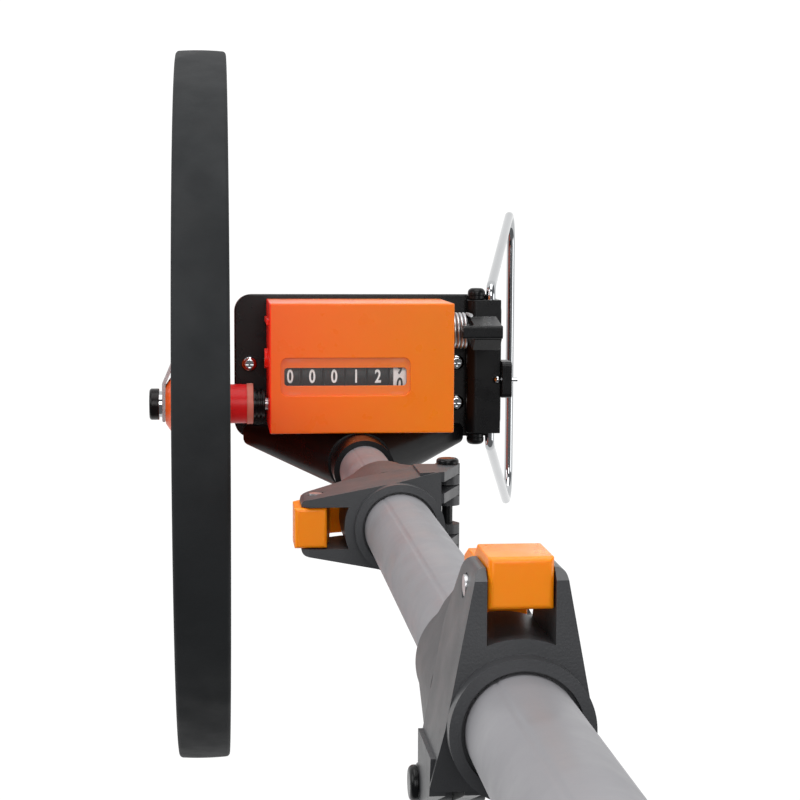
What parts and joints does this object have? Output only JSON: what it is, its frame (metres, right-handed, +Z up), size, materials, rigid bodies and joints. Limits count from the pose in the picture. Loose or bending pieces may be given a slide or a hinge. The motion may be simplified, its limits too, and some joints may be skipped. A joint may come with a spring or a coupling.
{
  "type": "measuring wheel",
  "caption": "Walk-behind distance measuring wheel with a drum counter, a reset lever, a wire side stand and a twice-folding tubular handle.",
  "frame": {"origin": "on the floor, at the middle of the bounding box's underside, level with the wheel's axle fore and aft", "axes": "+Z up the handle, +X from the wheel towards the side stand, +Y forwards"},
  "size_m": [0.1952, 0.3182, 1.0302],
  "materials": {
    "rubber_black": "matte tread rubber",
    "wheel_orange": "moulded satin",
    "case_orange": "moulded semi-gloss",
    "black_gloss": "moulded gloss",
    "dark_grey": "moulded satin",
    "pink_nylon": "moulded natural nylon",
    "steel": "turned",
    "chrome": "bright plated",
    "anodised": "satin anodised",
    "drum_black": "satin",
    "drum_white": "satin",
    "gear_nylon": "moulded natural nylon",
    "bronze": "sintered",
    "clear": "clear polycarbonate",
    "grip_rubber": "soft matte"
  },
  "bodies": {
    "frame": {"base_plate": "black_gloss", "tube_socket": "black_gloss", "lower_tube": "anodised", "plate_screws": "chrome", "stand_lugs": "black_gloss", "stand_pin": "black_gloss", "counter_case": "case_orange", "window_lens": "clear", "counter_chassis": "dark_grey", "axle_bushes": "bronze", "idler_pin": "steel", "reset_spring": "steel", "fold_1_lower": "dark_grey", "fold_1_pin": "black_gloss"},
    "wheel": {"tyre": "rubber_black", "wheel_rim": "wheel_orange", "axle": "steel", "index_pointer": "steel", "knob_washer": "chrome", "end_knob": "black_gloss", "drive_flange": "pink_nylon", "shaft_seal": "black_gloss", "axle_gear": "gear_nylon", "axle_clip": "steel"},
    "idler": {"idler_gear": "gear_nylon"},
    "decimetres": {"drum_shaft": "steel", "drum_gear": "gear_nylon", "drum_decimetres": "drum_white"},
    "digit_1": {"drum_1": "drum_black"},
    "digit_2": {"drum_2": "drum_black"},
    "digit_3": {"drum_3": "drum_black"},
    "digit_4": {"drum_4": "drum_black"},
    "digit_5": {"drum_5": "drum_black"},
    "reset": {"reset_shaft": "steel", "reset_lever": "black_gloss"},
    "side_stand": {"stand_flap": "black_gloss", "stand": "chrome", "stop_tab": "black_gloss", "split_pin": "chrome"},
    "middle_handle": {"fold_1_upper": "dark_grey", "latch_1_pin": "steel", "middle_tube": "anodised", "fold_2_lower": "dark_grey", "fold_2_pin": "black_gloss"},
    "latch_one": {"latch_1": "case_orange"},
    "latch_two": {"latch_2": "case_orange"},
    "upper_handle": {"fold_2_upper": "dark_grey", "latch_2_pin": "steel", "upper_tube": "anodised", "grip": "grip_rubber", "end_cap": "dark_grey"}
  },
  "joints": [
    {"name": "wheel_spin", "type": "hinge", "parent": "frame", "child": "wheel", "pos_m": [-0.07318, 0, 0.15915], "axis": [1, 0, 0], "continuous": true},
    {"name": "idler_spin", "type": "hinge", "parent": "frame", "child": "idler", "pos_m": [-0.07318, 0.00735, 0.16594], "axis": [1, 0, 0], "continuous": true},
    {"name": "decimetre_spin", "type": "hinge", "parent": "frame", "child": "decimetres", "pos_m": [-0.07318, 0.0147, 0.17272], "axis": [1, 0, 0], "continuous": true},
    {"name": "digit_1_spin", "type": "hinge", "parent": "frame", "child": "digit_1", "pos_m": [-0.07318, 0.0147, 0.17272], "axis": [1, 0, 0], "continuous": true},
    {"name": "digit_2_spin", "type": "hinge", "parent": "frame", "child": "digit_2", "pos_m": [-0.07318, 0.0147, 0.17272], "axis": [1, 0, 0], "continuous": true},
    {"name": "digit_3_spin", "type": "hinge", "parent": "frame", "child": "digit_3", "pos_m": [-0.07318, 0.0147, 0.17272], "axis": [1, 0, 0], "continuous": true},
    {"name": "digit_4_spin", "type": "hinge", "parent": "frame", "child": "digit_4", "pos_m": [-0.07318, 0.0147, 0.17272], "axis": [1, 0, 0], "continuous": true},
    {"name": "digit_5_spin", "type": "hinge", "parent": "frame", "child": "digit_5", "pos_m": [-0.07318, 0.0147, 0.17272], "axis": [1, 0, 0], "continuous": true},
    {"name": "reset_press", "type": "hinge", "parent": "frame", "child": "reset", "pos_m": [-0.07318, 0.034, 0.16715], "axis": [1, 0, 0], "range_deg": [0, 28], "stiffness_Nm_per_rad": 0.02, "springref_deg": -20.05},
    {"name": "stand_swing", "type": "hinge", "parent": "frame", "child": "side_stand", "pos_m": [0.05482, 0.016, 0.14615], "axis": [0, -1, 0], "range_deg": [0, 85]},
    {"name": "fold_1", "type": "hinge", "parent": "frame", "child": "middle_handle", "pos_m": [0.01783, -0.0245, 0.32515], "axis": [0, 1, 0], "range_deg": [0, 120]},
    {"name": "latch_1_press", "type": "hinge", "parent": "middle_handle", "child": "latch_one", "pos_m": [-0.03218, -0.0245, 0.34315], "axis": [0, 1, 0], "range_deg": [0, 14], "stiffness_Nm_per_rad": 0.05, "springref_deg": -11.46},
    {"name": "fold_2", "type": "hinge", "parent": "middle_handle", "child": "upper_handle", "pos_m": [-0.00317, -0.0455, 0.57515], "axis": [1, 0, 0], "range_deg": [0, 180]},
    {"name": "latch_2_press", "type": "hinge", "parent": "upper_handle", "child": "latch_two", "pos_m": [-0.00317, 0.0045, 0.59315], "axis": [1, 0, 0], "range_deg": [0, 14], "stiffness_Nm_per_rad": 0.05, "springref_deg": -11.46}
  ],
  "couplings": [
    {"joint": "idler_spin", "follows": "wheel_spin", "ratio": -0.92308},
    {"joint": "decimetre_spin", "follows": "wheel_spin", "ratio": 1},
    {"joint": "digit_1_spin", "follows": "wheel_spin", "ratio": 0.1},
    {"joint": "digit_2_spin", "follows": "wheel_spin", "ratio": 0.01},
    {"joint": "digit_3_spin", "follows": "wheel_spin", "ratio": 0.001},
    {"joint": "digit_4_spin", "follows": "wheel_spin", "ratio": 0.0001},
    {"joint": "digit_5_spin", "follows": "wheel_spin", "ratio": 0.00001}
  ]
}
